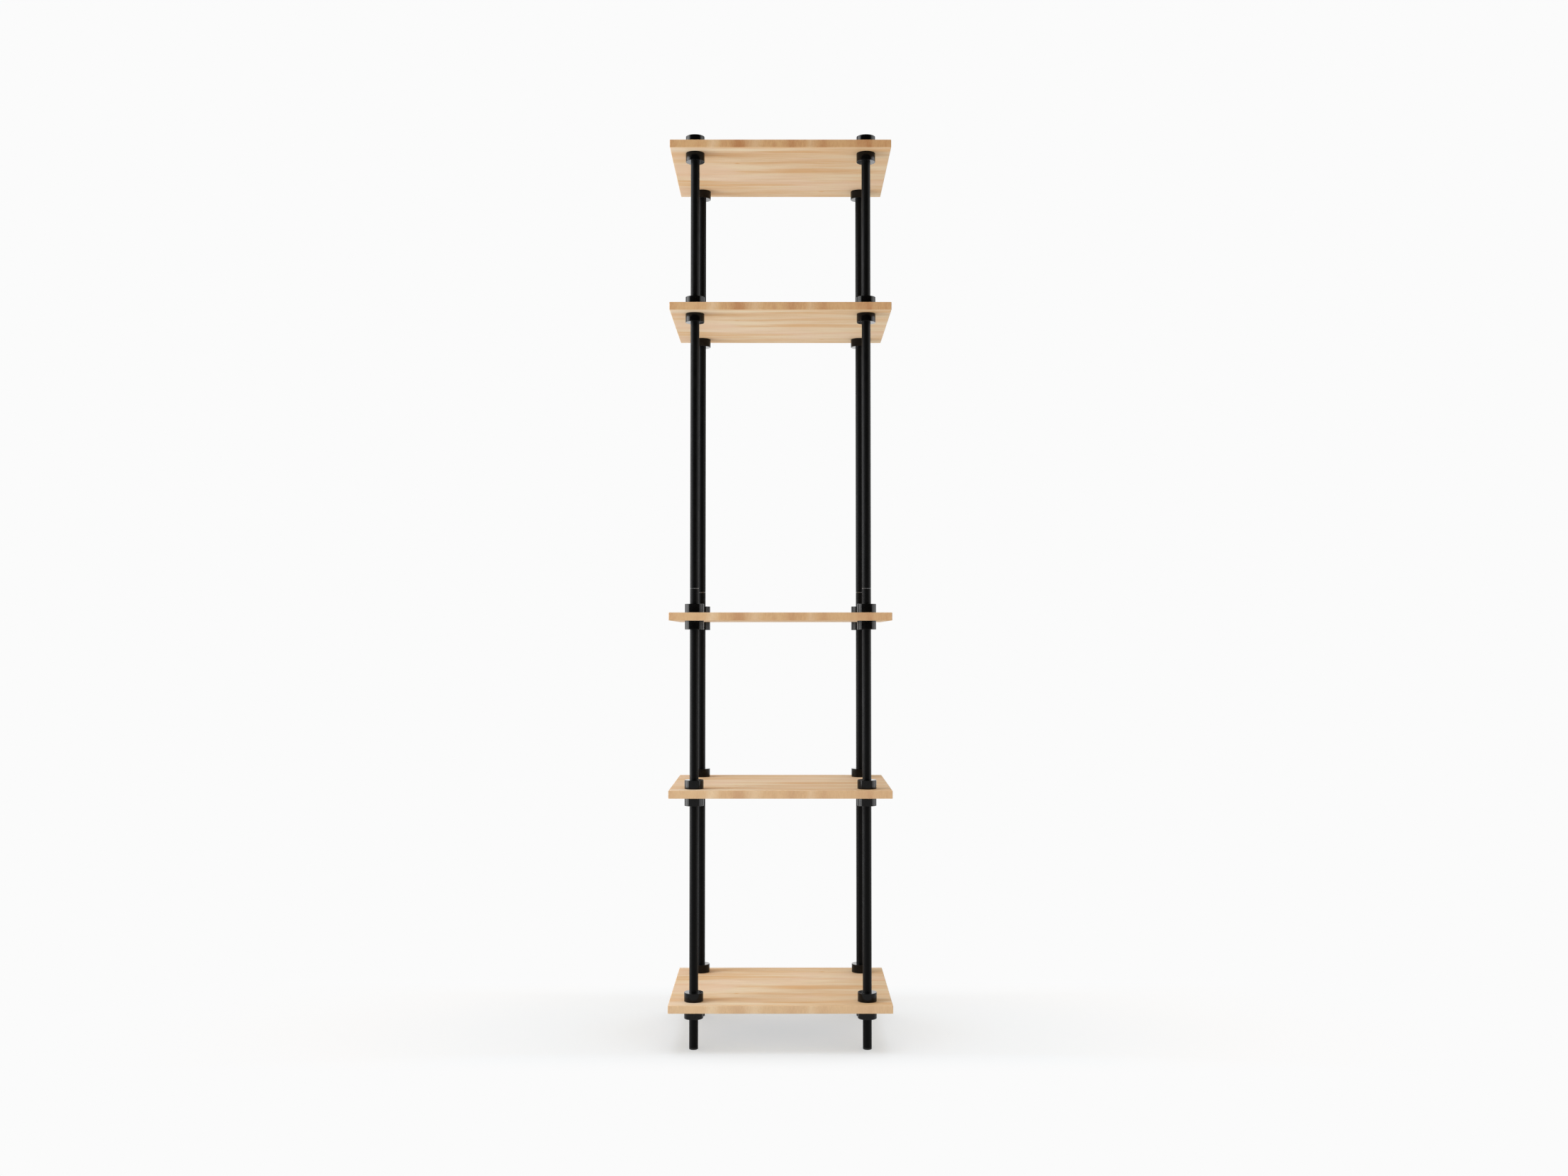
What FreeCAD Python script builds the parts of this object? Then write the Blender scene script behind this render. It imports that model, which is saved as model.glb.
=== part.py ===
# Free-standing pipe shelving unit: five wooden boards carried on four steel tube posts.
# At each post every board is gripped between two shaft collars, one below it and one above.
# +Z is up, +X is to the right seen from the front, +Y points to the rear.
# The origin is on the floor, in the middle of the footprint. All sizes are in millimetres.
import FreeCAD, Part
import os
import Sketcher
from FreeCAD import Placement, Rotation, Vector

# Each driving dimension: name, value, what it is.
drivingSizes = [
    ("boardWidth", 500, "board, left to right"),
    ("boardDepth", 390, "board, front to rear"),
    ("boardThickness", 18, "board thickness"),
    ("boardArris", 0.8, "broken edges of a board"),
    ("boardHoleGap", 0.5, "radial room of a post in its board hole"),
    ("sideInset", 55, "post centre from the side edge of a board"),
    ("frontInset", 45, "post centre from the front or rear edge of a board"),
    ("bottomLevel", 107, "top face of the lowest board above the floor"),
    ("firstBay", 457, "clear height between boards 1 and 2"),
    ("secondBay", 379, "clear height between boards 2 and 3"),
    ("thirdBay", 681, "clear height between boards 3 and 4"),
    ("fourthBay", 351, "clear height between boards 4 and 5"),
    ("tubeDiameter", 20, "outside of a post tube"),
    ("tubeWall", 2, "wall of a post tube"),
    ("tubeEndChamfer", 0.3, "deburred end of a post tube"),
    ("insertGap", 0.05, "radial room of an insert in a tube"),
    ("shoulderHeight", 1.5, "coupling ring that shows between two tubes"),
    ("spigotLength", 60, "length of a coupling inside each tube"),
    ("spigotChamfer", 1.5, "lead-in of a coupling"),
    ("collarDiameter", 43, "outside of a shaft collar"),
    ("collarHeight", 20, "height of a shaft collar"),
    ("collarChamfer", 0.6, "edges of a shaft collar"),
    ("collarGap", 0.05, "radial running room of a collar on its tube"),
    ("screwDiameter", 6, "thread of a set screw"),
    ("screwLength", 10, "length of a set screw"),
    ("screwGap", 0.05, "radial room of a set screw in its hole"),
    ("screwTipGap", 0.1, "tip of a just released set screw to the tube"),
    ("screwTipChamfer", 1, "cone round the tip of a set screw"),
    ("socketFlats", 3, "hexagon socket across its flats"),
    ("socketDepth", 3.5, "depth of the hexagon socket"),
    ("capHeight", 3, "flange of a top plug"),
    ("capRim", 1, "sloped rim of a top plug"),
    ("capRecess", 0.5, "top plug below the top of the highest collars"),
    ("glideHeight", 4, "flange of a foot glide"),
    ("glideRim", 0.8, "sloped rim of a foot glide"),
    ("stemLength", 16, "stem of a plug or a glide inside its tube"),
    ("finDepth", 1.2, "grip fin beyond its stem"),
    ("finThickness", 1.2, "grip fin along its stem"),
    ("finPitch", 4.5, "from one grip fin to the next"),
]

# Places worked out from the driving dimensions, as expressions for the document.
postX = "(Sizes.boardWidth / 2 - Sizes.sideInset)"
postY = "(Sizes.boardDepth / 2 - Sizes.frontInset)"
tubeRadius = "(Sizes.tubeDiameter / 2)"
tubeBoreRadius = "(Sizes.tubeDiameter / 2 - Sizes.tubeWall)"
insertRadius = f"({tubeBoreRadius} - Sizes.insertGap)"
boardTops = ["Sizes.bottomLevel"]
for bay in ("firstBay", "secondBay", "thirdBay", "fourthBay"):
    boardTops.append(f"({boardTops[-1]} + Sizes.{bay} + Sizes.boardThickness)")
postTop = f"({boardTops[-1]} + Sizes.collarHeight - Sizes.capRecess - Sizes.capHeight)"
tubeLength = f"(({postTop} - Sizes.glideHeight - Sizes.shoulderHeight) / 2)"
couplingLevel = f"(Sizes.glideHeight + {tubeLength})"

# Posts: name, side of the footprint along X, side along Y.
posts = [("front_left", "-", "-"), ("front_right", "+", "-"), ("rear_left", "-", "+"), ("rear_right", "+", "+")]

doc = FreeCAD.newDocument("PipeShelvingUnit")
subParts = []


def makeSheet():
    # One row for each driving dimension: its name, its value and what it is.
    sheet = doc.addObject("Spreadsheet::Sheet", "Sizes")
    for row, (alias, value, note) in enumerate(drivingSizes, start=1):
        sheet.set(f"A{row}", alias)
        sheet.set(f"B{row}", str(value))
        sheet.set(f"C{row}", note)
        sheet.setAlias(f"B{row}", alias)
    doc.recompute()


def originFeature(body, role):
    return next(feature for feature in body.Origin.OriginFeatures if feature.Role == role)


def makeBody(label, x, y, z, solids=1, upsideDown=False):
    # Empty body of one sub-part, which will hold the given number of solids.
    body = doc.addObject("PartDesign::Body", label)
    body.Label = label
    body.AllowCompound = solids > 1
    if upsideDown:
        body.Placement = Placement(Vector(0, 0, 0), Rotation(Vector(1, 0, 0), 180))
    for axis, place in (("x", x), ("y", y), ("z", z)):
        body.setExpression(f"Placement.Base.{axis}", place)
    subParts.append((body, solids))
    return body


def makeSketch(body, name, plane, offset=None):
    # Sketch on a plane of the body's own origin, moved along its normal by an offset.
    sketch = body.newObject("Sketcher::SketchObject", name)
    sketch.AttachmentSupport = [(originFeature(body, plane), "")]
    sketch.MapMode = "FlatFace"
    if offset:
        sketch.setExpression("AttachmentOffset.Base.z", offset)
    return sketch


def dimension(sketch, constraint, size):
    row = sketch.addConstraint(constraint)
    sketch.setExpression(f"Constraints[{row}]", size)


def placePoint(sketch, edge, end, across, up):
    # Fix one point of an edge by its distances from the sketch origin.
    for kind, axis, place in (("DistanceX", -2, across), ("DistanceY", -1, up)):
        if place == "0":
            sketch.addConstraint(Sketcher.Constraint("PointOnObject", edge, end, axis))
        else:
            dimension(sketch, Sketcher.Constraint(kind, -1, 1, edge, end, 1.0), place)


def drawOutline(sketch, points):
    # Closed outline of straight edges. Its points start apart, and their dimensions place them.
    count = len(points)
    starts = [Vector(1 + index, 1 + index * index, 0) for index in range(count)]
    for index in range(count):
        sketch.addGeometry(Part.LineSegment(starts[index], starts[(index + 1) % count]), False)
    for index in range(count):
        sketch.addConstraint(Sketcher.Constraint("Coincident", index, 2, (index + 1) % count, 1))
    for index, (across, up) in enumerate(points):
        placePoint(sketch, index, 1, across, up)


def drawCircle(sketch, radius, across="0", up="0"):
    edge = sketch.addGeometry(Part.Circle(Vector(1, 1, 0), Vector(0, 0, 1), 1.0), False)
    placePoint(sketch, edge, 3, across, up)
    dimension(sketch, Sketcher.Constraint("Radius", edge, 1.0), radius)


def drawHexagon(sketch, flats):
    # Regular hexagon about the sketch origin, its corners on a circle that only guides them.
    corners = [Rotation(Vector(0, 0, 1), 60 * index).multVec(Vector(1, 0, 0)) for index in range(6)]
    for index in range(6):
        sketch.addGeometry(Part.LineSegment(corners[index], corners[(index + 1) % 6]), False)
    guide = sketch.addGeometry(Part.Circle(Vector(0, 0, 0), Vector(0, 0, 1), 1.0), True)
    sketch.addConstraint(Sketcher.Constraint("Coincident", guide, 3, -1, 1))
    for index in range(6):
        sketch.addConstraint(Sketcher.Constraint("Coincident", index, 2, (index + 1) % 6, 1))
        sketch.addConstraint(Sketcher.Constraint("PointOnObject", index, 1, guide))
    for index in range(1, 6):
        sketch.addConstraint(Sketcher.Constraint("Equal", 0, index))
    sketch.addConstraint(Sketcher.Constraint("PointOnObject", 0, 1, -1))
    dimension(sketch, Sketcher.Constraint("Radius", guide, 1.0), f"{flats} / 2 / cos(30)")


def revolve(body, name, sketch):
    # Full turn about the sketch's vertical axis.
    turned = body.newObject("PartDesign::Revolution", name)
    turned.Profile = sketch
    turned.ReferenceAxis = (sketch, ["V_Axis"])
    turned.Angle = 360
    doc.recompute()
    return turned


def pad(body, name, sketch, length):
    raised = body.newObject("PartDesign::Pad", name)
    raised.Profile = sketch
    raised.setExpression("Length", length)
    doc.recompute()
    return raised


def pocket(body, name, sketch, depth=None, reverse=False):
    # Cut through everything, or to a depth, and make sure that it takes material away.
    before = body.Shape.Volume
    cut = body.newObject("PartDesign::Pocket", name)
    cut.Profile = sketch
    cut.Reversed = reverse
    if depth:
        cut.setExpression("Length", depth)
    else:
        cut.Type = "ThroughAll"
    doc.recompute()
    if not body.Shape.Volume < before:
        raise RuntimeError(f"{name} of {body.Label} cuts nothing")
    return cut


def chamfer(body, name, base, size, wanted):
    # Chamfer those edges of the base feature that the test picks.
    sloped = body.newObject("PartDesign::Chamfer", name)
    edges = [f"Edge{row}" for row, edge in enumerate(base.Shape.Edges, start=1) if wanted(edge)]
    sloped.Base = (base, edges)
    sloped.setExpression("Size", size)
    doc.recompute()


def repeatAtPosts(body, features, rise=None):
    # The front left post's features again at the other posts, and once more a rise above.
    steps = [("acrossX", "X_Axis", f"2 * {postX}"), ("acrossY", "Y_Axis", f"2 * {postY}")]
    if rise:
        steps.append(("upZ", "Z_Axis", rise))
    repeat = body.newObject("PartDesign::MultiTransform", "posts")
    repeat.Originals = features
    patterns = []
    for name, axis, length in steps:
        pattern = body.newObject("PartDesign::LinearPattern", name)
        pattern.Direction = (originFeature(body, axis), [""])
        pattern.setExpression("Length", length)
        pattern.Occurrences = 2
        patterns.append(pattern)
    repeat.Transformations = patterns
    body.Tip = repeat
    doc.recompute()


def isStraight(edge):
    return edge.Curve.TypeId == "Part::GeomLine"


def makeBoard(label, top):
    # Board with broken edges and a hole for each post.
    body = makeBody(label, "0", "0", f"{top} - Sizes.boardThickness")
    outline = makeSketch(body, "outline", "XY_Plane")
    right, rear = "Sizes.boardWidth / 2", "Sizes.boardDepth / 2"
    drawOutline(outline, [(f"-{right}", f"-{rear}"), (right, f"-{rear}"), (right, rear), (f"-{right}", rear)])
    slab = pad(body, "slab", outline, "Sizes.boardThickness")
    chamfer(body, "arris", slab, "Sizes.boardArris", isStraight)
    holes = makeSketch(body, "holes", "XY_Plane")
    for _, sideX, sideY in posts:
        drawCircle(holes, f"{tubeRadius} + Sizes.boardHoleGap", f"0 {sideX} {postX}", f"0 {sideY} {postY}")
    pocket(body, "postHoles", holes, reverse=True)


def makeCollars(label, level):
    # Four shaft collars at one height, each a bored ring with a tapped hole towards the rear.
    body = makeBody(label, f"-{postX}", f"-{postY}", level, solids=4)
    section = makeSketch(body, "section", "XZ_Plane")
    inner = f"{tubeRadius} + Sizes.collarGap"
    outer = "Sizes.collarDiameter / 2"
    height = "Sizes.collarHeight"
    edge = "Sizes.collarChamfer"
    drawOutline(section, [
        (inner, "0"), (f"{outer} - {edge}", "0"), (outer, edge),
        (outer, f"{height} - {edge}"), (f"{outer} - {edge}", height), (inner, height),
    ])
    ring = revolve(body, "ring", section)
    tapped = makeSketch(body, "tapped", "XZ_Plane")
    drawCircle(tapped, "Sizes.screwDiameter / 2", up=f"{height} / 2")
    hole = pocket(body, "screwHole", tapped)
    repeatAtPosts(body, [ring, hole])


def makeSetScrews(label, top):
    # Eight hexagon socket set screws of one board, in its collars below and above.
    level = f"{top} - Sizes.boardThickness - Sizes.collarHeight / 2"
    tip = f"{tubeRadius} + Sizes.screwTipGap - {postY}"
    body = makeBody(label, f"-{postX}", tip, level, solids=8)
    section = makeSketch(body, "section", "XY_Plane")
    radius = "(Sizes.screwDiameter / 2 - Sizes.screwGap)"
    cone = "Sizes.screwTipChamfer"
    drawOutline(section, [
        ("0", "0"), (f"{radius} - {cone}", "0"), (radius, cone),
        (radius, "Sizes.screwLength"), ("0", "Sizes.screwLength"),
    ])
    shank = revolve(body, "shank", section)
    key = makeSketch(body, "key", "XZ_Plane", offset="-Sizes.screwLength")
    drawHexagon(key, "Sizes.socketFlats")
    socket = pocket(body, "socket", key, depth="Sizes.socketDepth", reverse=True)
    repeatAtPosts(body, [shank, socket], rise="Sizes.boardThickness + Sizes.collarHeight")


def makeTube(label, x, y, level):
    body = makeBody(label, x, y, level)
    section = makeSketch(body, "section", "XY_Plane")
    drawCircle(section, tubeRadius)
    drawCircle(section, tubeBoreRadius)
    wall = pad(body, "wall", section, tubeLength)
    outside = wall.Shape.BoundBox.XMax
    chamfer(
        body, "ends", wall, "Sizes.tubeEndChamfer",
        lambda edge: not isStraight(edge) and edge.Curve.Radius > 0.99 * outside,
    )


def makeCoupling(label, x, y):
    # Turned steel insert: a spigot in each tube, and a shoulder that parts their ends.
    body = makeBody(label, x, y, couplingLevel)
    section = makeSketch(body, "section", "XZ_Plane")
    reach, lead, shoulder = "Sizes.spigotLength", "Sizes.spigotChamfer", "Sizes.shoulderHeight"
    drawOutline(section, [
        ("0", f"-{reach}"), (f"{insertRadius} - {lead}", f"-{reach}"), (insertRadius, f"{lead} - {reach}"),
        (insertRadius, "0"), (tubeRadius, "0"), (tubeRadius, shoulder), (insertRadius, shoulder),
        (insertRadius, f"{shoulder} + {reach} - {lead}"), (f"{insertRadius} - {lead}", f"{shoulder} + {reach}"),
        ("0", f"{shoulder} + {reach}"),
    ])
    revolve(body, "turned", section)


def makeTubeInsert(label, x, y, level, flange, rim, upsideDown=False):
    # Moulded plug: a flange with a sloped rim on the tube's end, and a stem with grip fins in its bore.
    finCount = 2
    body = makeBody(label, x, y, level, upsideDown=upsideDown)
    section = makeSketch(body, "section", "XZ_Plane")
    stem = f"({insertRadius} - Sizes.finDepth)"
    bottom = "-Sizes.stemLength"
    points = [("0", bottom), (stem, bottom)]
    for fin in range(finCount, 0, -1):
        below = f"-{fin} * Sizes.finPitch"
        above = f"{below} + Sizes.finThickness"
        points += [(stem, below), (insertRadius, below), (insertRadius, above), (stem, above)]
    points += [(stem, "0"), (tubeRadius, "0"), (tubeRadius, f"{flange} - {rim}")]
    points += [(f"{tubeRadius} - {rim}", flange), ("0", flange)]
    drawOutline(section, points)
    revolve(body, "moulded", section)


def checkDocument():
    for item in doc.Objects:
        if "Invalid" in item.State or "Error" in item.State:
            raise RuntimeError(f"{item.Label} failed: {item.State}")
    for body, solids in subParts:
        shape = body.Shape
        if shape.isNull() or not shape.isValid() or len(shape.Solids) != solids:
            raise RuntimeError(f"{body.Label} is not {solids} valid solids")


makeSheet()
for number, top in enumerate(boardTops, start=1):
    makeBoard(f"shelf_{number}_board", top)
    makeCollars(f"shelf_{number}_collars_above", top)
    makeCollars(f"shelf_{number}_collars_below", f"{top} - Sizes.boardThickness - Sizes.collarHeight")
    makeSetScrews(f"shelf_{number}_set_screws", top)
for name, sideX, sideY in posts:
    x, y = f"0 {sideX} {postX}", f"0 {sideY} {postY}"
    makeTubeInsert(f"foot_glide_{name}", x, y, "Sizes.glideHeight", "Sizes.glideHeight", "Sizes.glideRim", True)
    makeTube(f"lower_tube_{name}", x, y, "Sizes.glideHeight")
    makeCoupling(f"coupling_{name}", x, y)
    makeTube(f"upper_tube_{name}", x, y, f"{couplingLevel} + Sizes.shoulderHeight")
    makeTubeInsert(f"top_plug_{name}", x, y, postTop, "Sizes.capHeight", "Sizes.capRim")
doc.recompute()
checkDocument()

os.makedirs("parts", exist_ok=True)
for body, _ in subParts:
    body.Shape.exportStep(f"parts/{body.Label}.step")
    print(body.Label, len(body.Shape.Solids), round(body.Shape.Volume, 1))
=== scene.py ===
import bmesh
import bpy
import math
from mathutils import Euler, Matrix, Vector


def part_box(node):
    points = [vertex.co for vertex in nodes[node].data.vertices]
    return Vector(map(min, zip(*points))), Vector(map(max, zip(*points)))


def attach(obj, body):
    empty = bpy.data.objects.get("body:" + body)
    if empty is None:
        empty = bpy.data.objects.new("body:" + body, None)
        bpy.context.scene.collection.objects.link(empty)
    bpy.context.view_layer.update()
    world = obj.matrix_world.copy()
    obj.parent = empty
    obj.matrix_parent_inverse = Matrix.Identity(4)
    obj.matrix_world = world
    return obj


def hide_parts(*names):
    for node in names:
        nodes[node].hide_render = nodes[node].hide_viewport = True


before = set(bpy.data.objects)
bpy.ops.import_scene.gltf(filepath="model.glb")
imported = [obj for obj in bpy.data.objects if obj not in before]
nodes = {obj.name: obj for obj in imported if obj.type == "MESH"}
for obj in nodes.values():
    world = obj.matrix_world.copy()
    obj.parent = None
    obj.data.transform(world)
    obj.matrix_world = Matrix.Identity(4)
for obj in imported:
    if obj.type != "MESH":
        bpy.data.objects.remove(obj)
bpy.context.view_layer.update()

shelfCount = 5
corners = {"front_left": (-1, -1), "front_right": (1, -1), "rear_left": (-1, 1), "rear_right": (1, 1)}
post = dict(x=0.195, y=0.150, radius=0.010)
plainWhite = (1, 1, 1, 1)


def grey(value):
    return (value, value, value, 1)


# Small makers of nodes. Most of them return a socket that the next one takes.

def addNode(tree, kind, inputs=None, **settings):
    # One node. An input is given a value, or a socket to link from.
    node = tree.nodes.new(kind)
    for name, value in settings.items():
        setattr(node, name, value)
    for name, value in (inputs or {}).items():
        if isinstance(value, bpy.types.NodeSocket):
            tree.links.new(value, node.inputs[name])
        else:
            node.inputs[name].default_value = value
    return node


def maths(tree, operation, first, second=0.0, clamp=False):
    node = addNode(tree, "ShaderNodeMath", {0: first, 1: second}, operation=operation, use_clamp=clamp)
    return node.outputs[0]


def vectorMaths(tree, operation, *values):
    # LENGTH gives a number, the others give a vector.
    node = addNode(tree, "ShaderNodeVectorMath", dict(enumerate(values)), operation=operation)
    return node.outputs["Value" if operation == "LENGTH" else "Vector"]


def joinAxes(tree, **axes):
    return addNode(tree, "ShaderNodeCombineXYZ", axes).outputs[0]


def splitAxes(tree, vector):
    return addNode(tree, "ShaderNodeSeparateXYZ", {0: vector}).outputs


def coordinates(tree, kind="Object"):
    return addNode(tree, "ShaderNodeTexCoord").outputs[kind]


def mixNumbers(tree, factor, first, second):
    return addNode(tree, "ShaderNodeMix", {0: factor, 2: first, 3: second}).outputs[0]


def mixColours(tree, factor, first, second, blend="MIX"):
    inputs = {0: factor, 6: first, 7: second}
    return addNode(tree, "ShaderNodeMix", inputs, data_type="RGBA", blend_type=blend).outputs[2]


def remap(tree, value, low, high, newLow=0.0, newHigh=1.0, kind="SMOOTHSTEP"):
    places = {"Value": value, "From Min": low, "From Max": high, "To Min": newLow, "To Max": newHigh}
    return addNode(tree, "ShaderNodeMapRange", places, interpolation_type=kind).outputs[0]


def stretch(tree, place, scale, shift=(0, 0, 0)):
    sizes = {"Vector": place, "Location": shift, "Scale": scale}
    return addNode(tree, "ShaderNodeMapping", sizes, vector_type="POINT").outputs[0]


def noise(tree, place, scale, detail, roughness=0.5, distortion=0.0):
    sizes = {"Vector": place, "Scale": scale, "Detail": detail, "Roughness": roughness,
             "Distortion": distortion}
    return addNode(tree, "ShaderNodeTexNoise", sizes).outputs[0]


def pattern(tree, place, look):
    # Stretched noise. A look with a spread turns it into a mask.
    spot = stretch(tree, place, look["scale"], look.get("shift", (0, 0, 0)))
    roughness, distortion = look.get("roughness", 0.5), look.get("distortion", 0.0)
    value = noise(tree, spot, look.get("size", 1.0), look["detail"], roughness, distortion)
    return remap(tree, value, *look["spread"]) if "spread" in look else value


def warp(tree, place, look):
    # A slow push to either side, half the reach long at most.
    centred = maths(tree, "SUBTRACT", pattern(tree, place, look), 0.5)
    return maths(tree, "MULTIPLY", centred, look["reach"])


def makeGroup(name, inputs, outputs):
    # Empty node group: its tree, its inputs and its output node.
    tree = bpy.data.node_groups.new(name, "ShaderNodeTree")
    for label, value in inputs.items():
        socket = tree.interface.new_socket(label, in_out="INPUT", socket_type="NodeSocketFloat")
        socket.default_value = value
    for label, kind in outputs.items():
        tree.interface.new_socket(label, in_out="OUTPUT", socket_type=kind)
    return tree, tree.nodes.new("NodeGroupInput").outputs, tree.nodes.new("NodeGroupOutput")


def useGroup(tree, group, **values):
    node = tree.nodes.new("ShaderNodeGroup")
    node.node_tree = group
    for name, value in values.items():
        node.inputs[name].default_value = value
    return node.outputs


def newMaterial(name, **values):
    # Material with one Principled shader. What is the same all over is set on its own sockets.
    material = bpy.data.materials.new(name)
    material.use_nodes = True
    tree = material.node_tree
    shader = tree.nodes["Principled BSDF"]
    for label, value in values.items():
        shader.inputs[label].default_value = value
    return material, tree, shader


def addBump(tree, shader, height, distance):
    bump = addNode(tree, "ShaderNodeBump", {"Height": height, "Distance": distance, "Strength": 1.0})
    tree.links.new(bump.outputs[0], shader.inputs["Normal"])


# Light timber. A spread, turn, tone or roughness blends between its first two values, and where two more
# follow, these are what it gives there. A front blotch or patch has a middle along X, a half width and a
# strength, and a pin knot has X and Y.
timber = dict(
    pale=(0.742, 0.617, 0.431, 1), warm=(0.62, 0.33, 0.118, 1), rosy=(0.73, 0.53, 0.38, 1),
    pore=(0.44, 0.25, 0.12, 1), poreShare=0.35,
    pithAside=0.02, pithDepth=0.15, ringSpacing=0.0065, ringRise=(0.1, 0.85), ringFall=(0.90, 1.0),
    ringShare=0.09,
    sideWarp=dict(scale=(1.7, 5.0, 5.0), detail=2.0, reach=0.05),
    depthWarp=dict(scale=(1.5, 3.0, 3.0), shift=(7.0, 1.0, 0.0), detail=2.0, reach=0.08),
    streaks=dict(scale=(3.4, 42.0, 3.0), detail=3.0, spread=(0.34, 0.66), share=0.31),
    lines=dict(scale=(9.0, 110.0, 20.0), detail=3.0, roughness=0.6, spread=(0.36, 0.66), share=0.12),
    zones=dict(scale=(1.9, 16.0, 3.0), shift=(4.0, 2.0, 0.0), detail=2.0, spread=(0.36, 0.64), share=0.42),
    rosyPatches=dict(scale=(3.0, 9.0, 3.0), shift=(1.0, 8.0, 0.0), detail=2.0, spread=(0.48, 0.62, 0.0, 0.5)),
    pinKnots=((-0.101, -0.078), (0.101, 0.148)), knotSize=0.006, knotSquash=0.6, knotDepth=0.45,
    fibres=dict(scale=(24.0, 850.0, 850.0), detail=2.0, roughness=0.6),
    pores=dict(scale=(150.0, 2200.0, 2200.0), detail=1.0, spread=(0.66, 0.74)),
    # The third edge colour is pale wood for the patches, and also the painted light that the edges of the
    # lower boards are mixed towards.
    edgePale=(0.60, 0.37, 0.18, 1), edgeDark=(0.45, 0.21, 0.085, 1), edgePaleAndPaintedLight=(0.735, 0.56, 0.365, 1),
    blotches=dict(scale=(1.0, 1.0, 0.15), shift=(0.3, 0.0, 0.0), size=24.0, detail=3.0, roughness=0.6,
                  distortion=0.4, spread=(0.36, 0.70, 0.0, 0.6)),
    frontBlotches=((-0.094, 0.034, 1.0), (0.027, 0.030, 0.8), (0.098, 0.022, 0.7), (0.198, 0.020, 0.9)),
    frontPatches=((-0.152, 0.024, 0.50), (-0.060, 0.024, 0.35), (0.070, 0.018, 0.30)),
    ragged=dict(scale=(1.0, 1.0, 1.0), size=45.0, detail=3.0, roughness=0.6, reach=0.03),
    specks=dict(scale=(1.0, 1.0, 0.4), size=260.0, detail=3.0, roughness=0.6,
                spread=(0.40, 0.68, -0.08, 0.16)),
    edgeFibres=dict(scale=(800.0, 800.0, 90.0), detail=2.0, roughness=0.6),
    endPale=(0.52, 0.34, 0.18, 1), endDark=(0.37, 0.21, 0.095, 1), endRings=0.55, endFibres=0.5,
    turn=(0.55, 0.85), fibreTone=(0.35, 0.7, 1.03, 0.92), roughness=(0.3, 0.7, 0.56, 0.68),
)


def addGrowth(tree, look, place):
    # Rings about a pith below the board. Slow warps bend them, so that they open into tall arches.
    bend = joinAxes(tree, Y=warp(tree, place, look["sideWarp"]), Z=warp(tree, place, look["depthWarp"]))
    bent = vectorMaths(tree, "ADD", place, bend)
    axes = splitAxes(tree, bent)
    across = maths(tree, "SUBTRACT", axes["Y"], look["pithAside"])
    down = maths(tree, "ADD", axes["Z"], look["pithDepth"])
    reach = vectorMaths(tree, "LENGTH", joinAxes(tree, Y=across, Z=down))
    growth = maths(tree, "FRACT", maths(tree, "DIVIDE", reach, look["ringSpacing"]))
    late = remap(tree, growth, *look["ringFall"])
    return bent, maths(tree, "SUBTRACT", remap(tree, growth, *look["ringRise"]), late)


def addFaceColour(tree, look, place, bent, rings, pores):
    # Streaks, fine lines, broad zones and pin knots over the rings, then rosy patches and pores.
    tone = maths(tree, "MULTIPLY", rings, look["ringShare"])
    for layer in (look["streaks"], look["lines"], look["zones"]):
        tone = maths(tree, "ADD", tone, maths(tree, "MULTIPLY", pattern(tree, bent, layer), layer["share"]))
    squash = look["knotSquash"]
    for x, y in look["pinKnots"]:
        away = vectorMaths(tree, "LENGTH", stretch(tree, place, (squash, 1.0, 0.0), (-squash * x, -y, 0.0)))
        tone = maths(tree, "ADD", tone, remap(tree, away, 0.0, look["knotSize"], look["knotDepth"], 0.0))
    colour = mixColours(tree, tone, look["pale"], look["warm"])
    colour = mixColours(tree, pattern(tree, bent, look["rosyPatches"]), colour, look["rosy"])
    return mixColours(tree, maths(tree, "MULTIPLY", pores, look["poreShare"]), colour, look["pore"])


def addSpot(tree, along, centre, halfWidth, strength):
    # Soft spot about one place along the board.
    away = maths(tree, "ABSOLUTE", maths(tree, "SUBTRACT", along, centre))
    return remap(tree, away, 0.0, halfWidth, strength, 0.0)


def addEdgeColour(tree, look, place, light):
    # Soft upright blotches a few centimetres wide and fine specks, then pale patches. The given light is
    # painted light that pales the edge as a whole.
    along = maths(tree, "ADD", splitAxes(tree, place)["X"], warp(tree, place, look["ragged"]))
    blotches = pattern(tree, place, look["blotches"])
    for spot in look["frontBlotches"]:
        blotches = maths(tree, "MAXIMUM", blotches, addSpot(tree, along, *spot))
    blotches = maths(tree, "ADD", blotches, pattern(tree, place, look["specks"]), clamp=True)
    for spot in look["frontPatches"]:
        light = maths(tree, "ADD", light, addSpot(tree, along, *spot), clamp=True)
    colour = mixColours(tree, blotches, look["edgePale"], look["edgeDark"])
    # Painted light: the given light pales the edge, most on the lowest board.
    return mixColours(tree, light, colour, look["edgePaleAndPaintedLight"])


def addEndColour(tree, look, rings, fibres):
    # The cut rings, darker than the long edges.
    ringTone = maths(tree, "MULTIPLY", rings, look["endRings"])
    tone = maths(tree, "ADD", ringTone, maths(tree, "MULTIPLY", fibres, look["endFibres"]), clamp=True)
    return mixColours(tree, tone, look["endPale"], look["endDark"])


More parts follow.
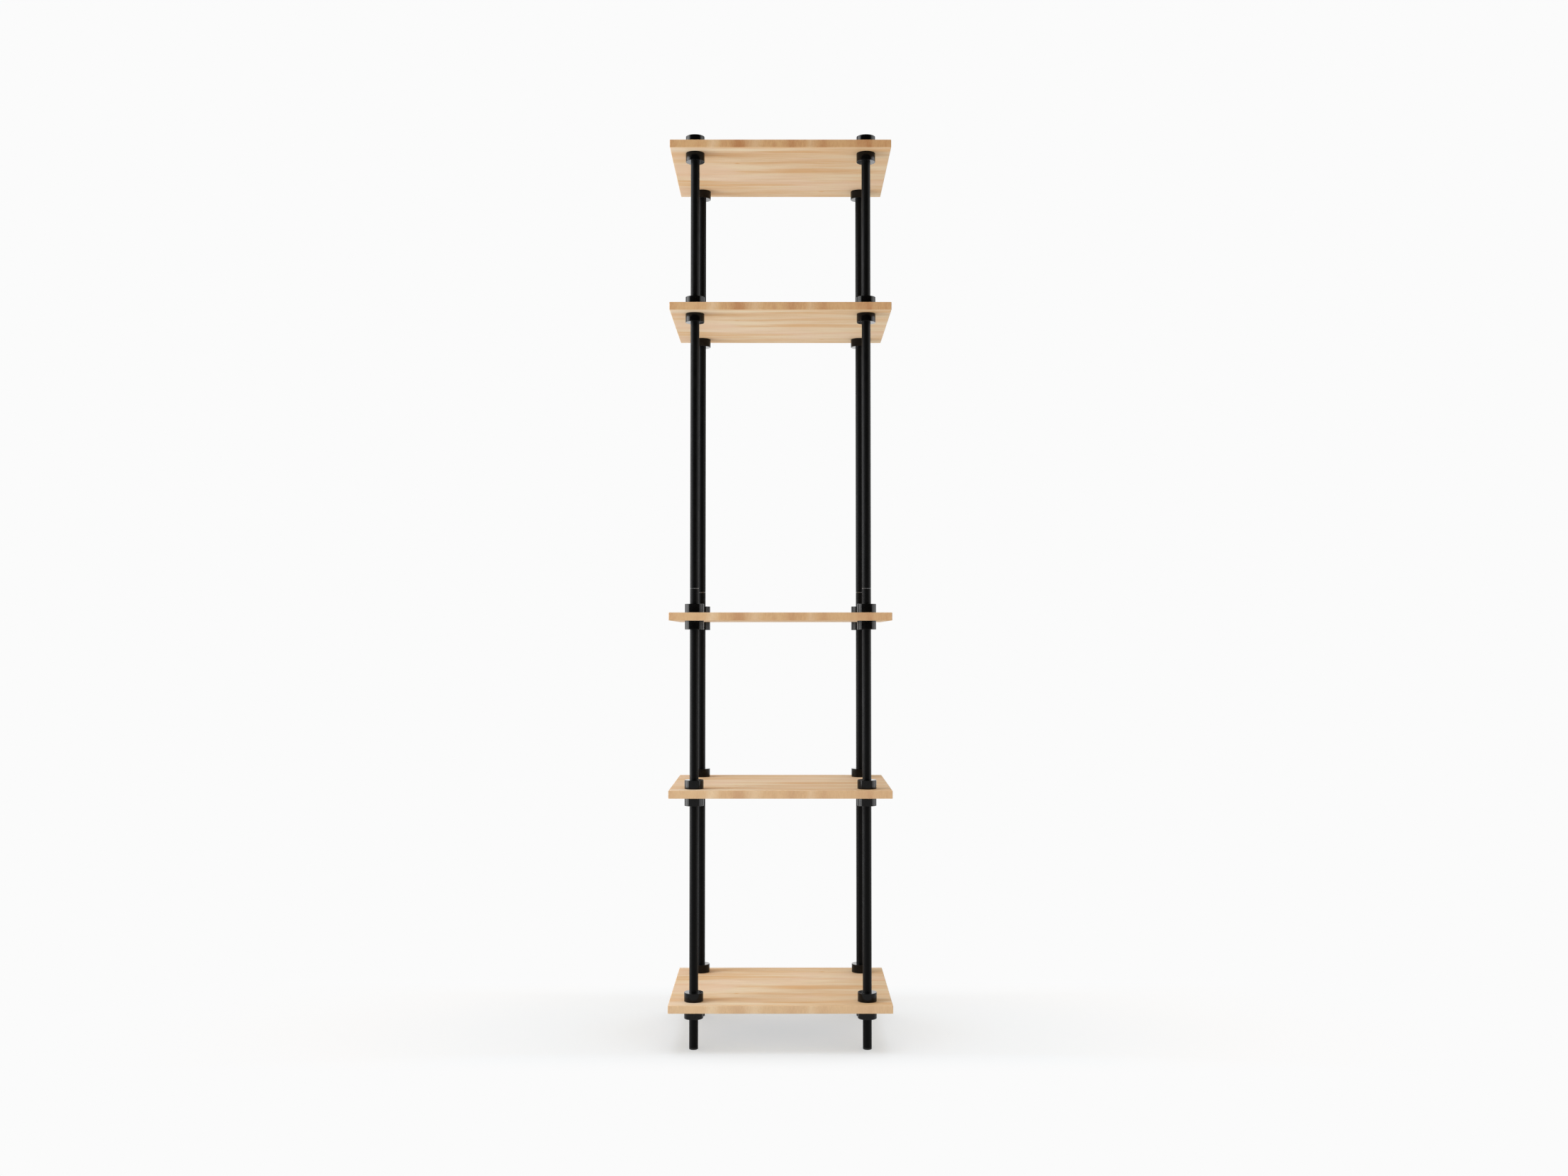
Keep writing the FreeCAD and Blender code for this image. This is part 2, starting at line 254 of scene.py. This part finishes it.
def makeTimberGroup():
    # Colour, gloss and relief of timber. The grain runs along X on the faces and upright on the edges. The
    # edge input is painted light on the edges.
    look = timber
    tree, given, result = makeGroup(
        "timberFigure",
        {"Level": 0.0, "Painted Edge Light": 0.0},
        {"Color": "NodeSocketColor", "Roughness": "NodeSocketFloat", "Height": "NodeSocketFloat"},
    )
    place = vectorMaths(tree, "SUBTRACT", coordinates(tree), joinAxes(tree, Z=given["Level"]))
    facing = splitAxes(tree, coordinates(tree, "Normal"))
    endMask = remap(tree, maths(tree, "ABSOLUTE", facing["X"]), *look["turn"])
    faceMask = remap(tree, maths(tree, "ABSOLUTE", facing["Z"]), *look["turn"])
    bent, rings = addGrowth(tree, look, place)
    pores = pattern(tree, place, look["pores"])
    edgeFibres = pattern(tree, place, look["edgeFibres"])
    fibres = mixColours(tree, faceMask, edgeFibres, pattern(tree, place, look["fibres"]))
    face = addFaceColour(tree, look, place, bent, rings, pores)
    # The edge input is painted light that pales the edges of the lower boards.
    edge = addEdgeColour(tree, look, place, given["Painted Edge Light"])
    edge = mixColours(tree, endMask, edge, addEndColour(tree, look, rings, edgeFibres))
    colour = mixColours(tree, faceMask, edge, face)
    colour = mixColours(tree, 1.0, colour, remap(tree, fibres, *look["fibreTone"], "LINEAR"), "MULTIPLY")
    relief = maths(tree, "SUBTRACT", fibres, maths(tree, "MULTIPLY", pores, faceMask))
    tree.links.new(colour, result.inputs["Color"])
    tree.links.new(remap(tree, fibres, *look["roughness"]), result.inputs["Roughness"])
    tree.links.new(relief, result.inputs["Height"])
    return tree


def makeCoatGroup():
    # Fine grain and faint cloudiness of a black coat or a moulded surface.
    look = dict(grain=900.0, grainDetail=2.0, grainRoughness=0.55,
                cloud=30.0, cloudDetail=3.0, cloudRoughness=0.6)
    tree, given, result = makeGroup(
        "blackCoat",
        {"Grain Scale": look["grain"], "Cloud Scale": look["cloud"]},
        {"Cloud": "NodeSocketFloat", "Height": "NodeSocketFloat"},
    )
    place = coordinates(tree)
    cloud = noise(tree, place, given["Cloud Scale"], look["cloudDetail"], look["cloudRoughness"])
    grain = noise(tree, place, given["Grain Scale"], look["grainDetail"], look["grainRoughness"])
    tree.links.new(cloud, result.inputs["Cloud"])
    tree.links.new(grain, result.inputs["Height"])
    return tree


def makeTurnedGroup():
    # Fine uneven lathe marks about the post axis: rings on flat ends, lines round the wall.
    look = dict(pitch=0.0003, detail=2.0)
    tree, given, result = makeGroup("turnedMarks", {"Pitch": look["pitch"]}, {"Marks": "NodeSocketFloat"})
    axes = splitAxes(tree, coordinates(tree))
    sideways = maths(tree, "SUBTRACT", maths(tree, "ABSOLUTE", axes["X"]), post["x"])
    forwards = maths(tree, "SUBTRACT", maths(tree, "ABSOLUTE", axes["Y"]), post["y"])
    reach = vectorMaths(tree, "LENGTH", joinAxes(tree, X=sideways, Y=forwards))
    path = maths(tree, "DIVIDE", maths(tree, "ADD", reach, axes["Z"]), given["Pitch"])
    sizes = {"W": path, "Scale": 1.0, "Detail": look["detail"]}
    marks = addNode(tree, "ShaderNodeTexNoise", sizes, noise_dimensions="1D")
    tree.links.new(marks.outputs[0], result.inputs["Marks"])
    return tree


timberFigure = makeTimberGroup()
blackCoat = makeCoatGroup()
turnedMarks = makeTurnedGroup()
print("shared effects made")


# Boards. The edge tones are painted light: they lighten the front edges, from the lowest board to the top
# one.
board = dict(
    levels=[sum(corner.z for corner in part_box(f"shelf_{k}_board")) / 2 for k in range(1, shelfCount + 1)],
    paintedEdgeLights=(0.58, 0.37, 0.21, 0.08, 0.0), specular=0.25, reliefDepth=0.00004,
    arris=0.0003, arrisSegments=2, foldAngle=35, mergeDistance=0.000002,
)


def makeBoardWood(number):
    material, tree, shader = newMaterial(f"boardWood{number}", **{"Specular IOR Level": board["specular"]})
    # The board's edge tone is painted light on its edges.
    level, paintedEdgeLight = board["levels"][number - 1], board["paintedEdgeLights"][number - 1]
    figure = useGroup(tree, timberFigure, **{"Level": level, "Painted Edge Light": paintedEdgeLight})
    tree.links.new(figure["Color"], shader.inputs["Base Color"])
    tree.links.new(figure["Roughness"], shader.inputs["Roughness"])
    addBump(tree, shader, figure["Height"], board["reliefDepth"])
    return material


def softenEdges(piece):
    # Rounds a board's edges by modifiers and leaves its own mesh as it is.
    joined = piece.modifiers.new("joined", "WELD")
    joined.merge_threshold = board["mergeDistance"]
    rounded = piece.modifiers.new("roundedEdges", "BEVEL")
    rounded.width = board["arris"]
    rounded.segments = board["arrisSegments"]
    rounded.limit_method = "ANGLE"
    rounded.angle_limit = math.radians(board["foldAngle"])
    piece.modifiers.new("evenShading", "WEIGHTED_NORMAL")


def paint(piece, material):
    for place in piece.material_slots:
        place.material = material


for number in range(1, shelfCount + 1):
    piece = nodes[f"shelf_{number}_board"]
    softenEdges(piece)
    paint(piece, makeBoardWood(number))
print("boards finished")


# Finishes of the metal and plastic pieces. Roughness blends between its two values with the clouds.
middleSpread = (0.3, 0.7)


def makeBlackFinish(name, look):
    material, tree, shader = newMaterial(name, **{"Specular IOR Level": look["specular"]})
    coat = useGroup(tree, blackCoat, **{"Grain Scale": look["grain"], "Cloud Scale": look["cloud"]})
    colour = mixColours(tree, coat["Cloud"], look["dark"], look["light"])
    roughness = remap(tree, coat["Cloud"], *middleSpread, *look["roughness"])
    tree.links.new(colour, shader.inputs["Base Color"])
    tree.links.new(roughness, shader.inputs["Roughness"])
    if "facedCoat" in look:        # oil on the flat ends
        upright = maths(tree, "ABSOLUTE", splitAxes(tree, coordinates(tree, "Normal"))["Z"])
        faced = remap(tree, upright, *look["facedTurn"], 0.0, look["facedCoat"])
        tree.links.new(faced, shader.inputs["Coat Weight"])
        shader.inputs["Coat Roughness"].default_value = look["coatRoughness"]
    height = coat["Height"]
    if "turnedPitch" in look:
        marks = useGroup(tree, turnedMarks, Pitch=look["turnedPitch"])["Marks"]
        height = maths(tree, "ADD", height, marks)
    addBump(tree, shader, height, look["relief"])
    return material


tubeBlack = makeBlackFinish("tubeBlack", dict(
    dark=grey(0.0015), light=grey(0.003), roughness=(0.42, 0.50), specular=0.08,
    grain=1400.0, cloud=40.0, relief=0.00002))
collarBlack = makeBlackFinish("collarBlack", dict(
    dark=grey(0.0015), light=grey(0.003), roughness=(0.14, 0.21), specular=0.18,
    facedCoat=1.0, facedTurn=(0.8, 0.95), coatRoughness=0.16,
    grain=1100.0, cloud=60.0, relief=0.000004, turnedPitch=0.0003))
screwBlack = makeBlackFinish("screwBlack", dict(
    dark=grey(0.010), light=grey(0.020), roughness=(0.28, 0.40), specular=0.5,
    grain=2200.0, cloud=200.0, relief=0.000006))
plasticBlack = makeBlackFinish("plasticBlack", dict(
    dark=grey(0.010), light=grey(0.014), roughness=(0.45, 0.60), specular=0.4,
    grain=2600.0, cloud=120.0, relief=0.00003))


def makeSteel():
    # Bare turned steel, dulled by handling.
    look = dict(dark=(0.22, 0.22, 0.225, 1), light=(0.36, 0.36, 0.365, 1), roughness=(0.40, 0.55),
                pitch=0.0002, relief=0.000008)
    material, tree, shader = newMaterial("couplingSteel", Metallic=1.0)
    marks = useGroup(tree, turnedMarks, Pitch=look["pitch"])["Marks"]
    roughness = remap(tree, marks, *middleSpread, *look["roughness"])
    tree.links.new(mixColours(tree, marks, look["dark"], look["light"]), shader.inputs["Base Color"])
    tree.links.new(roughness, shader.inputs["Roughness"])
    addBump(tree, shader, marks, look["relief"])
    return material


couplingSteel = makeSteel()
for corner in corners:
    for part in ("lower_tube", "upper_tube"):
        paint(nodes[f"{part}_{corner}"], tubeBlack)
    paint(nodes[f"coupling_{corner}"], couplingSteel)
    for part in ("foot_glide", "top_plug"):
        paint(nodes[f"{part}_{corner}"], plasticBlack)
print("posts finished")


# Shaft collars: bored rings with rounded rims and a tapped hole towards the rear.
collar = dict(
    radius=0.0215, height=0.020, bore=0.01005, rim=0.0006, boreBreak=0.0003, hole=0.003, mouthBreak=0.0004,
    segments=80, rimSteps=4, holeColumns=10, holeRows=8, layers=3,
)


def ringOf(mesh, radius, level):
    # Points about the Z axis. The first one lies half the hole's columns before the +Y direction.
    count = collar["segments"]
    start = math.pi / 2 - math.pi * collar["holeColumns"] / count
    turns = [start + 2 * math.pi * step / count for step in range(count)]
    return [mesh.verts.new((radius * math.cos(turn), radius * math.sin(turn), level)) for turn in turns]


def joinRings(mesh, first, second):
    for step in range(len(first)):
        after = (step + 1) % len(first)
        mesh.faces.new((first[step], first[after], second[after], second[step]))


def borderOf(mesh, low, high):
    # Points round the wall's window: along its foot, up one side, back along its head and down the other.
    columns, rows = collar["holeColumns"], collar["holeRows"]
    sides = []
    for column in (columns, 0):
        foot, head = low[column].co, high[column].co
        sides.append([mesh.verts.new(foot.lerp(head, row / rows)) for row in range(1, rows)])
    return low[:columns + 1] + sides[0] + high[columns::-1] + sides[1][::-1], sides


def mouthGoals(flat, radius, mouthRadius):
    # Places on the unrolled wall round the mouth, one for each border point, from the border's own corner.
    corner = math.atan2(flat[0][1], flat[0][0])
    turning = 1 if flat[0][0] * flat[1][1] - flat[0][1] * flat[1][0] > 0 else -1
    goals = []
    for step in range(len(flat)):
        turn = corner + turning * 2 * math.pi * step / len(flat)
        along = radius * math.asin(mouthRadius * math.cos(turn) / radius)
        goals.append((along, mouthRadius * math.sin(turn)))
    return goals


def pierceWall(mesh, low, high, radius, mouthRadius):
    # Cylinder wall between two rings, with a round mouth on +Y. Returns the ring of points at the mouth.
    columns, count = collar["holeColumns"], collar["segments"]
    border, sides = borderOf(mesh, low, high)
    for step in range(columns, count):
        after = (step + 1) % count
        points = [low[step], low[after]]
        if after == 0:
            points += sides[1]
        points += [high[after], high[step]]
        if step == columns:
            points += sides[0][::-1]
        mesh.faces.new(points)
    middle = collar["height"] / 2
    flat = [(math.atan2(point.co.x, point.co.y) * radius, point.co.z - middle) for point in border]
    goals = mouthGoals(flat, radius, mouthRadius)
    previous = border
    for layer in range(1, collar["layers"] + 1):
        share = layer / collar["layers"]
        ring = []
        for (startX, startZ), (goalX, goalZ) in zip(flat, goals):
            turn = (startX + (goalX - startX) * share) / radius
            level = startZ + (goalZ - startZ) * share + middle
            ring.append(mesh.verts.new((radius * math.sin(turn), radius * math.cos(turn), level)))
        joinRings(mesh, previous, ring)
        previous = ring
    return previous


def addThroat(mesh, mouth, inner):
    # The hole itself, from its broken mouth in the wall to the ring of points in the bore.
    middle = collar["height"] / 2
    throat = []
    for point in mouth:
        flat = Vector((point.co.x, 0, point.co.z - middle)).normalized() * collar["hole"]
        depth = math.sqrt(collar["radius"] ** 2 - flat.x ** 2) - collar["mouthBreak"]
        throat.append(mesh.verts.new((flat.x, depth, flat.z + middle)))
    joinRings(mesh, mouth, throat)
    nearest = min(range(len(inner)), key=lambda step: (inner[step].co.xz - throat[0].co.xz).length)
    joinRings(mesh, throat, inner[nearest:] + inner[:nearest])


def addCollar(mesh, place):
    outer, top, bore = collar["radius"], collar["height"], collar["bore"]
    rim, broken = collar["rim"], collar["boreBreak"]
    before = len(mesh.verts)
    boreLow = ringOf(mesh, bore, broken)
    faceLow = ringOf(mesh, bore + broken, 0)
    lowRings, highRings = [], []
    for step in range(collar["rimSteps"] + 1):
        turn = math.pi / 2 * step / collar["rimSteps"]
        radius = outer - rim + rim * math.sin(turn)
        lowRings.append(ringOf(mesh, radius, rim - rim * math.cos(turn)))
        highRings.append(ringOf(mesh, radius, top - rim + rim * math.cos(turn)))
    faceHigh = ringOf(mesh, bore + broken, top)
    boreHigh = ringOf(mesh, bore, top - broken)
    for chain in ([boreLow, faceLow] + lowRings, [boreHigh, faceHigh] + highRings):
        for first, second in zip(chain, chain[1:]):
            joinRings(mesh, first, second)
    mouth = pierceWall(mesh, lowRings[-1], highRings[-1], outer, collar["hole"] + collar["mouthBreak"])
    inner = pierceWall(mesh, boreLow, boreHigh, bore, collar["hole"])
    addThroat(mesh, mouth, inner)
    mesh.verts.ensure_lookup_table()
    for point in mesh.verts[before:]:
        point.co += Vector((*place, 0))


def finishMesh(mesh, name, foldAngle=35):
    # Mesh data out of a bmesh: faces turned outwards, smooth, and sharp only where they fold.
    bmesh.ops.recalc_face_normals(mesh, faces=mesh.faces)
    data = bpy.data.meshes.new(name)
    mesh.to_mesh(data)
    mesh.free()
    data.shade_smooth()
    data.set_sharp_from_angle(angle=math.radians(foldAngle))
    return data


def placePiece(name, data, material, level, body, node):
    piece = bpy.data.objects.new(name, data)
    piece.location = (0, 0, level)
    if not data.materials:
        data.materials.append(material)
    bpy.context.scene.collection.objects.link(piece)
    piece.modifiers.new("evenShading", "WEIGHTED_NORMAL").keep_sharp = True
    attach(piece, body)
    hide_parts(node)
    return piece


mesh = bmesh.new()
for sideX, sideY in corners.values():
    addCollar(mesh, (sideX * post["x"], sideY * post["y"]))
collarSet = finishMesh(mesh, "collarSet")
collars = []
for number in range(1, shelfCount + 1):
    for side in ("above", "below"):
        node = f"shelf_{number}_collars_{side}"
        name = f"shelf_{number}_shaft_collars_{side}"
        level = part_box(node)[0].z
        piece = placePiece(name, collarSet, collarBlack, level, f"shelf_{number}", node)
        collars.append(piece)
print("collars made")


# Set screws: headless, with a hexagon socket and a cup at the tip.
setScrew = dict(
    radius=0.00295, length=0.010, clearance=0.0001, tipRadius=0.0014, tipBreak=0.001, cup=0.0005,
    headBreak=0.0003, acrossFlats=0.003, socketDepth=0.0035, socketPoint=0.0006, flats=6, pointsPerFlat=6,
)


def addScrew(mesh, place):
    # One screw along +Y, with its tip just off the tube.
    look = setScrew
    count, half = look["pointsPerFlat"] * look["flats"], math.pi / look["flats"]
    turns = [2 * math.pi * step / count for step in range(count)]
    hexagon = [look["acrossFlats"] / 2 / math.cos((turn + half) % (2 * half) - half) for turn in turns]
    x, y, z = place
    y += post["radius"] + look["clearance"]

    def addRing(along, reaches):
        return [mesh.verts.new((x + reach * math.cos(turn), y + along, z + reach * math.sin(turn)))
                for turn, reach in zip(turns, reaches)]

    def close(ring, along):
        centre = mesh.verts.new((x, y + along, z))
        for step in range(count):
            mesh.faces.new((ring[step], ring[(step + 1) % count], centre))

    edge, full = look["radius"], look["length"]
    floorOfSocket = full - look["socketDepth"]
    profile = ((0, look["tipRadius"]), (0, edge - look["tipBreak"]), (look["tipBreak"], edge),
               (full - look["headBreak"], edge), (full, edge - look["headBreak"]))
    rings = [addRing(along, [reach] * count) for along, reach in profile]
    rings += [addRing(full, hexagon), addRing(floorOfSocket, hexagon)]
    for first, second in zip(rings, rings[1:]):
        joinRings(mesh, first, second)
    close(rings[0], look["cup"])
    close(rings[-1], floorOfSocket - look["socketPoint"])


lowScrew = collar["height"] / 2        # in the collars below a board, the other one in those above it
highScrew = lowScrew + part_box("shelf_1_collars_above")[0].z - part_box("shelf_1_collars_below")[0].z
mesh = bmesh.new()
for sideX, sideY in corners.values():
    for level in (lowScrew, highScrew):
        addScrew(mesh, (sideX * post["x"], sideY * post["y"], level))
screwSet = finishMesh(mesh, "screwSet")
for number in range(1, shelfCount + 1):
    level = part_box(f"shelf_{number}_collars_below")[0].z
    placePiece(f"shelf_{number}_socket_screws", screwSet, screwBlack, level,
               f"shelf_{number}", f"shelf_{number}_set_screws")
print("set screws made")


# Floor and background. The floor's own shading shows by its shadow share about the unit, and the rest is
# glow, painted light that lifts the shadow. Near the unit the glow is brighter than the white and tinted
# blue, painted light that keeps the shadow neutral, and further out it is the background's white.
backgroundWhite = 0.965
floorLook = dict(
    size=24.0, colour=(0.87, 0.915, 0.968, 1), shadowShare=0.58,
    oval=(1.0, 2.0, 1.0), fade=(0.60, 1.7), front=(-0.06, -0.34), back=(0.20, 0.50),
    coreOval=(1.5, 2.0, 1.0), core=(0.15, 0.55), side=(0.5, 1.1),
    coreGlow=(1.117, 1.195, 1.264, 1), sideGlow=(0.951, 0.993, 1.022, 1),
)


def raysThatSee(tree):
    # Masks of the rays that see the background: straight on or through something, and by reflection too.
    rays = addNode(tree, "ShaderNodeLightPath").outputs
    straight = maths(tree, "MAXIMUM", rays["Is Camera Ray"], rays["Is Transmission Ray"])
    return straight, maths(tree, "MAXIMUM", straight, rays["Is Glossy Ray"])


def floorFade(tree, look, place, away):
    # From the glow's least share about the unit to 1 all round, soonest in front and behind.
    backwards = splitAxes(tree, place)["Y"]
    around = remap(tree, away, *look["fade"], 1 - look["shadowShare"], 1.0)
    before = remap(tree, backwards, *look["front"])
    behind = remap(tree, backwards, *look["back"])
    return maths(tree, "MAXIMUM", around, maths(tree, "MAXIMUM", before, behind))


def floorGlow(tree, look, place, away, fade):
    # Painted light: near the unit the glow is brighter and bluer than the background's white.
    outwards = remap(tree, fade, 1 - look["shadowShare"], 1.0, kind="LINEAR")
    strength = remap(tree, outwards, 0.0, 1.0, 1.0, backgroundWhite, "LINEAR")
    fromCore = vectorMaths(tree, "LENGTH", stretch(tree, place, look["coreOval"]))
    colour = mixColours(tree, remap(tree, fromCore, *look["core"]), look["coreGlow"], look["sideGlow"])
    plain = maths(tree, "MAXIMUM", outwards, remap(tree, away, *look["side"]))
    colour = mixColours(tree, plain, colour, plainWhite)
    return addNode(tree, "ShaderNodeEmission", {"Color": colour, "Strength": strength}).outputs[0]


def makeFloor():
    # White floor with a faint shadow, which fades into the background all round.
    look = floorLook
    bpy.ops.mesh.primitive_plane_add(size=look["size"], location=(0, 0, 0))
    floor = bpy.context.object
    floor.name = "floor"
    material = bpy.data.materials.new("floorWhite")
    material.use_nodes = True
    tree = material.node_tree
    tree.nodes.clear()
    place = coordinates(tree)
    away = vectorMaths(tree, "LENGTH", stretch(tree, place, look["oval"]))
    fade = floorFade(tree, look, place, away)
    diffuse = addNode(tree, "ShaderNodeBsdfDiffuse", {"Color": look["colour"]}).outputs[0]
    glow = floorGlow(tree, look, place, away, fade)
    share = maths(tree, "MULTIPLY", raysThatSee(tree)[1], fade)
    mixed = addNode(tree, "ShaderNodeMixShader", {0: share, 1: diffuse, 2: glow}).outputs[0]
    output = addNode(tree, "ShaderNodeOutputMaterial")
    tree.links.new(mixed, output.inputs["Surface"])
    floor.data.materials.append(material)
    return floor


floor = makeFloor()


# Soft light all round, stronger from above than from below, and a dark front for glossy surfaces.
# The turns are directions to blend between: Y from the front to the rear, and Z up.
surround = dict(
    glossyFront=0.01, glossyTurn=(-0.35, 0.35), frontLight=0.63, rearLight=0.59, softTurn=(-0.8, 0.5),
    lowLight=0.475, highLight=1.55, heightTurn=(0.0, 0.8), softTint=(1.0, 0.89, 0.755, 1),
)


def makeWorld():
    look = surround
    world = bpy.data.worlds.new("studio")
    bpy.context.scene.world = world
    world.use_nodes = True
    tree = world.node_tree
    tree.nodes.clear()
    axes = splitAxes(tree, coordinates(tree, "Generated"))
    glossy = remap(tree, axes["Y"], *look["glossyTurn"], look["glossyFront"], backgroundWhite)
    soft = remap(tree, axes["Y"], *look["softTurn"], look["frontLight"], look["rearLight"])
    height = remap(tree, axes["Z"], *look["heightTurn"], look["lowLight"], look["highLight"])
    straight, seen = raysThatSee(tree)
    strength = mixNumbers(tree, seen, maths(tree, "MULTIPLY", soft, height), glossy)
    strength = mixNumbers(tree, straight, strength, backgroundWhite)
    colour = mixColours(tree, seen, look["softTint"], plainWhite)
    light = addNode(tree, "ShaderNodeBackground", {"Color": colour, "Strength": strength}).outputs[0]
    output = addNode(tree, "ShaderNodeOutputWorld")
    tree.links.new(light, output.inputs["Surface"])


makeWorld()


# Lamps, which glossy surfaces don't show, and tall white cards at both sides, which show in glossy black
# metal alone.
lamps = dict(
    keyLeft=dict(place=(-2.35, -0.5, 1.7), target=(0, -0.1, 1.7), width=1.3, height=3.4, power=103.0,
                 tint=(0.87, 1.02, 1.23)),
    fillFront=dict(place=(0.5, -3.3, 0.4), target=(0, 0, 0.4), width=2.4, height=0.8, power=15.0,
                   tint=(1, 1, 1)),
    floorLight=dict(place=(0, 0, 4.2), target=(0, 0, 0), width=3.0, height=3.0, power=62.0,
                    tint=(0.91, 1.0, 1.15)),
)
cards = dict(width=1.9, height=4.0, x=2.3, y=-0.15, z=1.6,
             radiances=dict(cardLeft=(-1, 5.0), cardRight=(1, 2.5)))


def addAreaLight(name, look):
    light = bpy.data.lights.new(name, "AREA")
    light.shape = "RECTANGLE"
    light.size = look["width"]
    light.size_y = look["height"]
    light.energy = look["power"]
    light.color = look["tint"]
    lamp = bpy.data.objects.new(name, light)
    lamp.location = look["place"]
    aim = Vector(look["target"]) - Vector(look["place"])
    lamp.rotation_euler = aim.to_track_quat("-Z", "Y").to_euler()
    bpy.context.scene.collection.objects.link(lamp)
    return lamp


def addCard(name, side, radiance):
    # A card's power is four times its area times the radiance that it shows.
    width, height = cards["width"], cards["height"]
    card = addAreaLight(name, dict(
        place=(side * cards["x"], cards["y"], cards["z"]), target=(0, cards["y"], cards["z"]),
        width=width, height=height, power=4 * width * height * radiance, tint=(1, 1, 1)))
    card.visible_diffuse = False
    return card


def setReceivers(lamp, pieces, state):
    # INCLUDE lights these pieces alone, EXCLUDE leaves them out.
    collection = bpy.data.collections.new(f"{lamp.name}Receivers")
    for piece in pieces:
        collection.objects.link(piece)
    for linked in collection.collection_objects:
        linked.light_linking.link_state = state
    lamp.light_linking.receiver_collection = collection


lampObjects = {name: addAreaLight(name, look) for name, look in lamps.items()}
for lamp in lampObjects.values():
    lamp.visible_glossy = False
setReceivers(lampObjects["keyLeft"], [floor], "EXCLUDE")        # so that the floor is as bright at both sides
setReceivers(lampObjects["floorLight"], [floor], "INCLUDE")
tubes = [nodes[f"{part}_{corner}"] for part in ("lower_tube", "upper_tube") for corner in corners]
for name, (side, radiance) in cards["radiances"].items():
    setReceivers(addCard(name, side, radiance), collars + tubes, "INCLUDE")
print("studio lit")


# Camera. Its angles are radians, up and to the right of straight on.
view = dict(place=(0.0055, -3.6056, 0.9245), pitch=0.03199, yaw=0.0007, focalPixels=2152.1, frameWidth=2212)
camera = bpy.data.cameras.new("camera")
camera.lens = view["focalPixels"] / view["frameWidth"] * camera.sensor_width
cameraObject = bpy.data.objects.new("camera", camera)
cameraObject.location = view["place"]
cameraObject.rotation_euler = Euler((math.pi / 2 + view["pitch"], 0, -view["yaw"]))
bpy.context.scene.collection.objects.link(cameraObject)
bpy.context.scene.camera = cameraObject
bpy.context.scene.view_settings.view_transform = "Standard"
print("camera placed")
